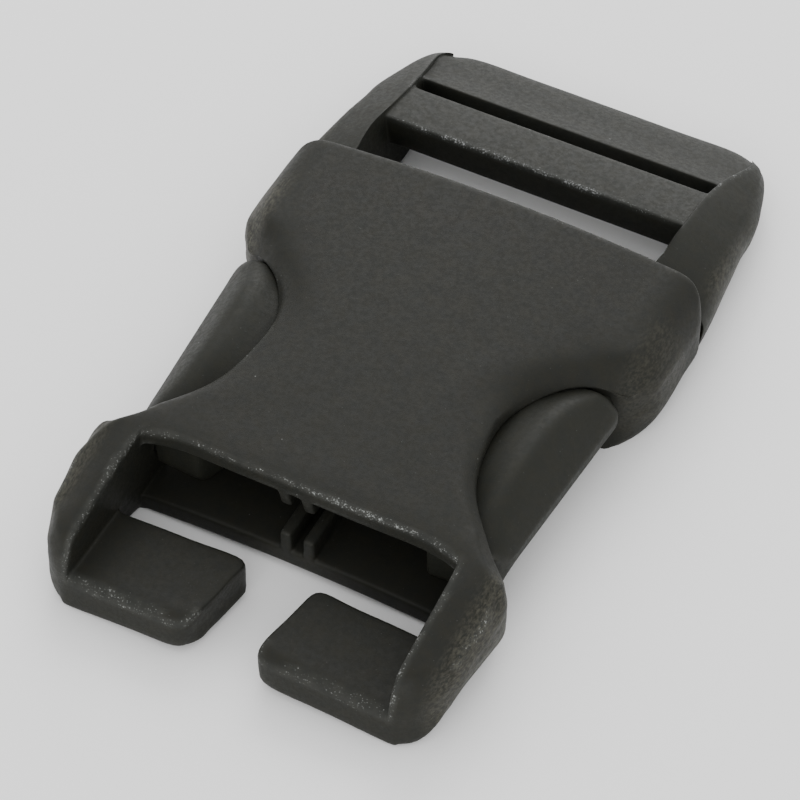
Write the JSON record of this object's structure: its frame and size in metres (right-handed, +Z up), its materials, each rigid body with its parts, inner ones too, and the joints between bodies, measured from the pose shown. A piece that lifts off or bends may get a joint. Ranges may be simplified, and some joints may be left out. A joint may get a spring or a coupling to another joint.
{
  "type": "side-release buckle",
  "caption": "Fastened side-release strap buckle: a hollow socket with open side windows and a split bar, and a plug with a ladder-lock webbing frame.",
  "frame": {"origin": "centre of the buckle's footprint, on the surface that it rests on", "axes": "+X across the buckle, +Y along it from the socket's split bar to the plug's end bar, +Z up through the crowned top"},
  "size_m": [0.037, 0.065, 0.0094],
  "materials": {
    "socket_plastic": "fine moulded texture, satin sheen, worn shiny on the edges",
    "plug_plastic": "fine moulded texture, satin sheen, worn shiny on the centre bar"
  },
  "bodies": {
    "root": {"socket": "socket_plastic", "plug": "plug_plastic"}
  },
  "joints": []
}
